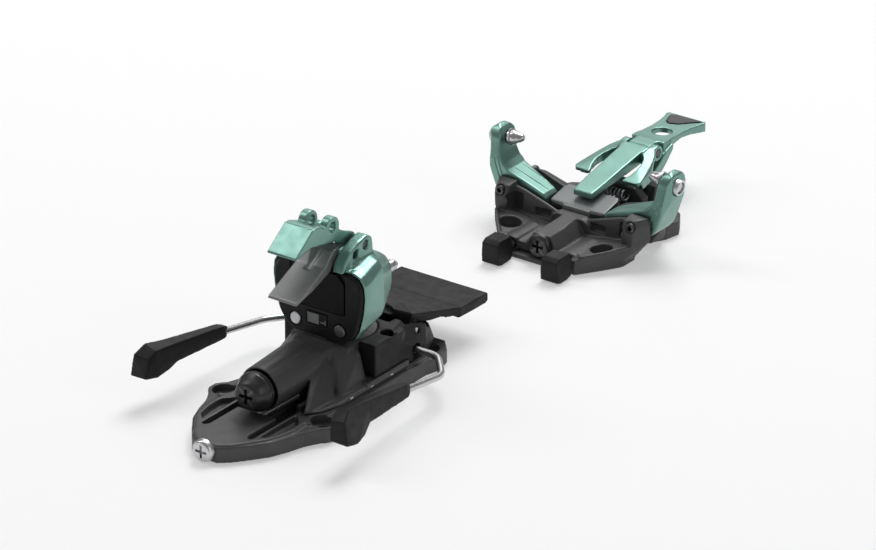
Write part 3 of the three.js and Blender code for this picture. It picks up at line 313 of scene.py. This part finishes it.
def block(low, high):
    """A box between two corners, in millimetres."""
    bm = bmesh.new()
    bmesh.ops.create_cube(bm, size=1)
    for vert in bm.verts:
        vert.co = Vector([(low[i] + (vert.co[i] + 0.5) * (high[i] - low[i])) * MM for i in range(3)])
    return from_bmesh("cutter", bm)


def cylinder(start, end, radius, sides=72):
    """A round bar between two points, in millimetres."""
    start, end = Vector(start) * MM, Vector(end) * MM
    bm = bmesh.new()
    bmesh.ops.create_cone(bm, cap_ends=True, segments=sides, radius1=radius * MM,
                          radius2=radius * MM, depth=(end - start).length)
    turn = (end - start).to_track_quat("Z", "Y").to_matrix().to_4x4()
    bm.transform(Matrix.Translation((start + end) / 2) @ turn)
    return from_bmesh("cutter", bm)


def wedge(points):
    """The convex hull of points in millimetres."""
    bm = bmesh.new()
    for point in points:
        bm.verts.new(Vector(point) * MM)
    bmesh.ops.convex_hull(bm, input=bm.verts)
    return from_bmesh("cutter", bm)


def combine(piece, tools, operation):
    for tool in tools:
        modifier = piece.modifiers.new("boolean", "BOOLEAN")
        modifier.operation = operation
        modifier.solver = "EXACT"
        modifier.object = tool
    settle(piece)
    for tool in tools:
        bpy.data.objects.remove(tool)


def merge(piece, others):
    """Puts other closed shapes into the piece's mesh; the even skin that follows joins them."""
    bm = bmesh.new()
    bm.from_mesh(piece.data)
    for other in others:
        bm.from_mesh(other.data)
        bpy.data.objects.remove(other)
    bm.to_mesh(piece.data)
    bm.free()


def finish_piece(piece, material, *nodes, angle=35):
    for polygon in piece.data.polygons:
        polygon.use_smooth = True
    piece.data.set_sharp_from_angle(angle=math.radians(angle))
    piece.data.materials.clear()
    piece.data.materials.append(material)
    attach(piece, BODY[nodes[0]])
    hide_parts(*nodes)


def refine(node, material, voxel=0.35, smooth=6, keep=0.5, cuts=(), adds=(), late_cuts=()):
    """The CAD node's shape with soft edges: cuts and adds, then an even skin, smoothed and thinned."""
    piece = new_piece(node + "_fine", frame["nodes"][node].data.copy())
    if cuts:
        combine(piece, cuts, "DIFFERENCE")
    if adds:
        merge(piece, adds)
    remesh = piece.modifiers.new("remesh", "REMESH")
    remesh.mode = "VOXEL"
    remesh.voxel_size = voxel * MM
    remesh.use_smooth_shade = True
    relax = piece.modifiers.new("relax", "SMOOTH")
    relax.factor = 0.5
    relax.iterations = smooth
    thin = piece.modifiers.new("thin", "DECIMATE")
    thin.ratio = keep
    settle(piece)
    if late_cuts:
        combine(piece, late_cuts, "DIFFERENCE")
    finish_piece(piece, material, node, angle=50)


def cross_pin(node, axis, half_length, radius, material):
    """A plain round pin across the object; axis holds y and z."""
    pin = cylinder((-half_length, *axis), (half_length, *axis), radius)
    pin.name = node + "_fine"
    finish_piece(pin, material, node)


def add_trim(name, shapes, material, node):
    """Small marks that sit on a node's surface and move with its body."""
    trim = shapes[0]
    trim.name = name
    if len(shapes) > 1:
        combine(trim, shapes[1:], "UNION")
    trim.data.materials.clear()
    trim.data.materials.append(material)
    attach(trim, BODY[node])


def cross_cutters(x, y, z, size, depth):
    """Cutters for a cross recess in a screw's head, which faces the rear."""
    w = size * RECESS_ARM
    return [block((x - w, y - 1, z - size), (x + w, y + depth, z + size)),
            block((x - size, y - 1, z - w), (x + size, y + depth, z + w))]


def place_at(piece, x, y, z):
    piece.data.transform(Matrix.Translation(Vector((x, y, z)) * MM))
    return piece


def rounded_path(corners, reach=4.0, steps=10):
    """Points along straight runs with rounded corners, in millimetres."""
    corners = [Vector(c) for c in corners]
    points = [corners[0]]
    for before, corner, after in zip(corners, corners[1:], corners[2:]):
        start = corner + (before - corner).normalized() * reach
        end = corner + (after - corner).normalized() * reach
        for i in range(steps + 1):
            t = i / steps
            points.append(start * (1 - t) ** 2 + corner * 2 * t * (1 - t) + end * t ** 2)
    points.append(corners[-1])
    return points


def coil(centre, axis, length, radius, turns, steps=26):
    """Points of a spring's wire about a line along X or Y, in millimetres."""
    points = []
    for i in range(int(turns * steps) + 1):
        along = length * (i / (turns * steps) - 0.5)
        a = 2 * math.pi * i / steps
        offset = (along, radius * math.cos(a), radius * math.sin(a))
        if axis == "Y":
            offset = (radius * math.cos(a), along, radius * math.sin(a))
        points.append([centre[k] + offset[k] for k in range(3)])
    return points


# ---------- detail shapes ----------
def mounting_holes(side, holes, top):
    """Cutters for one side's counterbored holes; each entry holds x, y and the height of the seat."""
    tools = []
    for x, y, seat in holes:
        tools.append(cylinder((side * x, y, seat), (side * x, y, top), COUNTERBORE_R))
        tools.append(cylinder((side * x, y, -1), (side * x, y, top), SHANK_R))
    return tools


def bolt_cutter(side):
    return cylinder((side * BOLT_X, BOLT_Y, 15), (side * BOLT_X, BOLT_Y, 40), BOLT_HOLE_R)


def housing_shoulders(side):
    """Two fillers, in front of the screw's hole and outside it, that square up the housing's top."""
    front = [(14.4, 53), (21.9, 53), (21.9, 55), (20.6, 58.4), (14.4, 59.4)]
    outer = [(21.2, 40), (21.9, 40), (21.9, 53.6), (21.2, 53.6)]
    return [wedge([(side * x, y, z) for x, y in corners for z in (14, 23.8 - 0.06 * (y - 38))])
            for corners in (front, outer)]


def wing_grooves(side):
    """Two fine lines along the wing's arm and two curved lines on its rear face."""
    arm = [cylinder((side * 16.6, y, 17.8), (side * 33.4, y, 23.4), GROOVE_R, 12) for y in (209.4, 214.4)]
    edges = (((42.2, 37), (41.4, 28.6), (39.2, 22), (36.2, 14)),
             ((40, 31), (39, 27), (36.8, 20.6), (34, 13.4)))
    face = []
    for edge in edges:
        line = rounded_path([(side * x, WING_REAR_Y, z) for x, z in edge], 2.5)
        face.append(tube_mesh("cutter", line, GROOVE_R, 10))
    return arm + face


def toe_rim(side):
    """A raised rim along the plate's outer rear edge."""
    route = [(18.2, 181.8, 7.1), (20.2, 179.6, 7.3), (28, 188.7, 8.5), (33, 195.6, 9.8)]
    return tube_mesh("rim", rounded_path([(side * x, y, z) for x, y, z in route], 2), 0.9, 12)


def rod_cover(side):
    """Closes the plate's skin over the boot stop's rod."""
    section = [(11.6, 6.95), (11.8, 7.5), (14, 8), (15.6, 8), (17.7, 7.5), (17.9, 6.95)]
    return wedge([(side * x, y, z) for x, z in section for y in (180, 197)])


def nose_shoulder(side):
    """Takes the square corner off the block round the stop screw."""
    section = [(2.8, 13.6), (10, 13.6), (10, 6.4), (8, 6.6), (5.7, 10.2)]
    return wedge([(side * x, y, z) for x, z in section for y in (180, 200.8)])


# ---------- heel plate and carriage ----------
def add_length_marks(name, side):
    """Tick marks on the edge of the carriage's flange."""
    low, high = sorted((side * 23.1, side * 23.5))
    marks = [block((low, y, 8.1), (high, y + 1.6, 8.5)) for y in (19, 32, 45)]
    add_trim(f"length_marks_{name}", marks, INK, "heel_carriage")


def add_length_screw():
    """A domed, cross-recessed head and a shank with turned rings for its thread."""
    head = [(-2.9, 0), (-2.9, 3.6), (-2.75, 4.0), (-2.3, 4.35), (-1.5, 4.62), (-0.9, 4.7), (-0.35, 4.7),
            (-0.3, 4.6), (-0.3, THREAD_R)]
    profile = [(HEEL_TAIL_Y + along, radius) for along, radius in head] + [(THREAD_START_Y, THREAD_R)]
    y = float(THREAD_START_Y)
    while y < THREAD_END_Y:
        profile += [(y, ROOT_R), (y + 0.3, ROOT_R), (y + 0.55, THREAD_R), (y + 0.7, THREAD_R)]
        y += THREAD_PITCH
    profile += [(57.6, 1.6), (58, 1.3), (58, 0)]
    screw = place_at(lathe("length_screw_fine", profile, 48), 0, 0, SCREW_Z)
    combine(screw, cross_cutters(0, HEEL_TAIL_Y - 2.9, SCREW_Z, 2.7, 1.5), "DIFFERENCE")
    finish_piece(screw, STEEL, "length_screw")


def add_release_cap():
    profile = [
        (0, 0), (0, 4.7), (0.12, 5.0), (0.7, 5.65), (2.5, 6.55), (4.0, 7.25), (4.9, 7.9), (5.15, 8.05),
        (5.4, 8.1), (6.3, 8.1), (6.35, 7.8), (6.75, 7.8), (6.8, 8.1), (7.6, 8.1), (7.8, 8.0), (8.3, 6.6),
        (13, 6.6), (13, 0)]
    cap = place_at(lathe("release_cap_fine", profile, 96), 0, CAP_Y, BARREL_Z)
    combine(cap, cross_cutters(0, CAP_Y, BARREL_Z, 3.3, 2.2), "DIFFERENCE")
    finish_piece(cap, DARK_STEEL, "release_cap")


def add_release_plunger():
    profile = [(0, 0), (0, 3.1), (0.3, 3.4), (9.4, 3.4), (9.6, 3.6), (9.6, 6.5), (9.8, 6.7), (16.0, 6.7),
               (16.2, 6.5), (16.2, 0)]
    plunger = place_at(lathe("release_plunger_fine", profile), 0, 10.2, BARREL_Z)
    finish_piece(plunger, STEEL, "release_plunger")


def add_spring(node, route, wire_radius, sides=12):
    spring = tube_mesh(node + "_fine", route, wire_radius, sides)
    finish_piece(spring, SPRING, node)


# ---------- tower ----------
def add_scale_marks():
    """A plate with a frame line and plain ticks, in the window of the release scale."""
    plate = block((-4.3, SCALE_FRONT_Y + 0.1, 30.5), (0.8, SCALE_BACK_Y, 34.3))
    add_trim("scale_plate", [plate], COVER_GREY, "release_scale")
    lines = ((-4.6, 0.35, 30.2, 34.4), (-4.4, 5.2, 30.2, 30.5), (-3.9, 2.2, 31.6, 31.8),
             (-3.9, 1.4, 32.8, 33.0), (1.7, 2.2, 31.1, 31.45), (3.8, 0.3, 30.4, 32.6))
    marks = [block((x, SCALE_FRONT_Y, low), (x + wide, SCALE_BACK_Y, high)) for x, wide, low, high in lines]
    add_trim("scale_marks", marks, DULL_INK, "release_scale")


def add_cover_disc(name, side):
    profile = [(-0.4, 0), (-0.4, 2.1), (-0.35, 2.3), (-0.15, 2.5), (1.1, 2.5), (1.1, 0)]
    disc = place_at(lathe(f"cover_disc_{name}_fine", profile), side * 10.7, 29, 29.8)
    finish_piece(disc, PALE_DISC if side < 0 else DULL_DISC, f"cover_disc_{name}")


# ---------- brake ----------
def add_brake_wire(name, side):
    route = [(3.5, *BRAKE_AXLE), (32.4, *BRAKE_AXLE), (43.4, 51.6, 11.4), (44.9, 16, 17)]
    path = rounded_path([(side * x, y, z) for x, y, z in route])
    wire = tube_mesh(f"brake_wire_{name}_fine", path, 1.45, 28)
    finish_piece(wire, STEEL, f"brake_wire_{name}")


def add_housing_screw(name, side):
    profile = [(0, 0), (0, 1.2), (5, 1.2), (5, 2.2), (5.2, 2.4), (6.6, 2.4), (6.9, 2.1), (6.9, 0)]
    screw = lathe(f"housing_screw_{name}_fine", profile)
    screw.data.transform(Matrix.Rotation(math.radians(90), 4, "X"))
    place_at(screw, side * BOLT_X, BOLT_Y, 10.3)
    socket = cylinder((side * BOLT_X, BOLT_Y, 15.6), (side * BOLT_X, BOLT_Y, 20), 1.25, 6)
    combine(screw, [socket], "DIFFERENCE")
    finish_piece(screw, DARK_STEEL, f"housing_screw_{name}")


# ---------- toe unit ----------
def toe_pin_frame(side):
    """Takes +Y onto the toe pin's axis, from its tip outward."""
    tip = Vector((side * PIN_TIP[0], PIN_TIP[1], PIN_TIP[2])) * MM
    back = Vector((side * PIN_BACK[0], PIN_BACK[1], PIN_BACK[2])) * MM
    turn = Vector((0, 1, 0)).rotation_difference((back - tip).normalized())
    return Matrix.Translation(tip) @ turn.to_matrix().to_4x4()


def add_toe_pin(name, side):
    profile = [
        (0, 0), (0, 0.6), (0.12, 0.9), (0.5, 1.25), (1.1, 1.72), (2.6, 2.15), (4.0, 2.6), (4.6, 2.9),
        (5.8, 2.9), (5.85, 3.4), (6.0, 3.6), (6.6, 3.6), (6.8, 3.4), (6.8, 2.2), (15.0, 2.2), (15.2, 2.0),
        (15.2, 0)]
    pin = lathe(f"toe_pin_{name}_fine", profile)
    pin.data.transform(toe_pin_frame(side))
    finish_piece(pin, STEEL, f"toe_pin_{name}")


def add_pin_nut(name, side):
    profile = [(13.5, 2.5), (13.5, 3.4), (13.6, 3.5), (15.6, 3.4), (15.9, 3.2), (15.9, 2.6), (15.8, 2.5),
               (13.5, 2.5)]
    nut = lathe(f"pin_nut_{name}_fine", profile)
    nut.data.transform(toe_pin_frame(side))
    bm = bmesh.new()
    bm.from_mesh(nut.data)
    bmesh.ops.remove_doubles(bm, verts=bm.verts, dist=1e-7)
    bm.to_mesh(nut.data)
    bm.free()
    finish_piece(nut, PALE_DISC, f"pin_nut_{name}")


def add_wing_pivot(name, side):
    profile = [(196.8, 0), (196.8, 1.7), (197.0, 2.0), (223.7, 2.0), (223.9, 1.8), (223.9, 0)]
    pivot = place_at(lathe(f"wing_pivot_{name}_fine", profile, 48), side * WING_X, 0, WING_Z)
    socket = cylinder((side * WING_X, 195, WING_Z), (side * WING_X, 198.6, WING_Z), 1.2, 6)
    combine(pivot, [socket], "DIFFERENCE")
    finish_piece(pivot, DARK_STEEL, f"wing_pivot_{name}")


def add_stop_rod(name, side):
    profile = [(170.3, 0), (170.3, 1.7), (170.5, 1.9), (193.8, 1.9), (194, 1.7), (194, 0)]
    rod = place_at(lathe(f"stop_rod_{name}_fine", profile, 48), side * STOP_ROD_X, 0, STOP_ROD_Z)
    finish_piece(rod, STEEL, f"stop_rod_{name}")


def add_stop_screw():
    profile = [
        (178, 0), (178, 4.3), (178.1, 4.55), (178.9, 5.25), (179.2, 5.3), (180.3, 5.3), (180.4, 5.2),
        (180.4, 2.3), (197.8, 2.3), (198, 2.1), (198, 0)]
    screw = place_at(lathe("stop_screw_fine", profile), 0, 0, STOP_SCREW_Z)
    combine(screw, cross_cutters(0, STOP_SCREW_Y, STOP_SCREW_Z, 2.9, 1.7), "DIFFERENCE")
    finish_piece(screw, DARK_STEEL, "stop_screw")


# ---------- the scene ----------
add_camera()
add_stage()

refine("heel_base_plate", BLACK, voxel=0.4, smooth=5, keep=0.4, cuts=[
    tool for _, side in SIDES for tool in mounting_holes(side, HEEL_HOLES, 20)])
refine("heel_carriage", BLACK, voxel=0.35, smooth=8, keep=0.4)
refine("brake_housing", PLASTIC, voxel=0.35, smooth=6, keep=0.4,
       cuts=[bolt_cutter(side) for _, side in SIDES],
       adds=[filler for _, side in SIDES for filler in housing_shoulders(side)])
refine("length_nut", DARK_STEEL, voxel=0.3, smooth=2, keep=0.5)
for name, side in SIDES:
    add_length_marks(name, side)
add_length_screw()
add_release_cap()
add_spring("release_spring", coil((0, 8.05, BARREL_Z), "Y", 20.2, 5.3, 7), 1.25, 20)
add_release_plunger()
refine("tower_post", STEEL, voxel=0.3, smooth=3, keep=0.4)

refine("tower_body", GREEN, voxel=0.35, smooth=32, keep=0.4)
refine("tower_rear_cover", PLASTIC, voxel=0.3, smooth=4, keep=0.4)
refine("cover_inlay", GLOSS, voxel=0.2, smooth=3, keep=0.4)
refine("release_scale", PLASTIC, voxel=0.2, smooth=2, keep=0.4)
add_scale_marks()
for name, side in SIDES:
    add_cover_disc(name, side)
refine("heel_pin_fork", STEEL, voxel=0.3, smooth=4, keep=0.4)
refine("upper_flap", GREEN, voxel=0.3, smooth=6, keep=0.5)
refine("lower_flap", FLAP_GREY, voxel=0.3, smooth=6, keep=0.5)
cross_pin("flap_pin", FLAP_PIN, 12.6, 1.5, DARK_STEEL)

refine("brake_pad", PLASTIC, voxel=0.35, smooth=5, keep=0.4, late_cuts=[
    cylinder((-23, PAD_CREASE_Y, 18.1), (23, PAD_CREASE_Y, 18.1), 0.35, 12)])
cross_pin("brake_pad_pin", PAD_PIN, 19, 1.2, STEEL)
add_spring("brake_spring", coil((0, *BRAKE_AXLE), "X", 20, 2.85, 12), 0.7)
for name, side in SIDES:
    add_brake_wire(name, side)
    refine(f"brake_foot_{name}", PLASTIC, voxel=0.35, smooth=8, keep=0.5)
    add_housing_screw(name, side)

refine("toe_base", BLACK, voxel=0.4, smooth=5, keep=0.4,
       cuts=[tool for _, side in SIDES
             for tool in mounting_holes(side, TOE_HOLES, 24) + [nose_shoulder(side)]],
       adds=[add(side) for _, side in SIDES for add in (toe_rim, rod_cover)])
refine("toe_cover", COVER_GREY, voxel=0.3, smooth=6, keep=0.4)
refine("toe_lever", GREEN, voxel=0.3, smooth=7, keep=0.5, cuts=[
    cylinder((0, LEVER_HOLE_Y, 15), (0, LEVER_HOLE_Y, 40), 4.22)])
refine("lever_fork", GREEN, voxel=0.3, smooth=6, keep=0.5)
refine("lever_inlay", BLACK, voxel=0.2, smooth=2, keep=0.5)
cross_pin("lever_axle", LEVER_AXLE, 14.8, 1.6, DARK_STEEL)
cross_pin("fork_pin", FORK_PIN, 8.6, 1.5, DARK_STEEL)
for name, y in (("rear", 223.6), ("front", 230.4)):
    add_spring(f"toe_spring_{name}", coil((0, y, 13.4), "X", 16.4, 2.05, 9), 0.55)
for name, side in SIDES:
    refine(f"wing_{name}", GREEN, voxel=0.3, smooth=10, keep=0.5, late_cuts=wing_grooves(side))
    add_toe_pin(name, side)
    add_pin_nut(name, side)
    add_wing_pivot(name, side)
    refine(f"boot_stop_{name}", PLASTIC, voxel=0.3, smooth=8, keep=0.5)
    add_stop_rod(name, side)
refine("stop_yoke", BLACK, voxel=0.3, smooth=2, keep=0.5)
add_stop_screw()
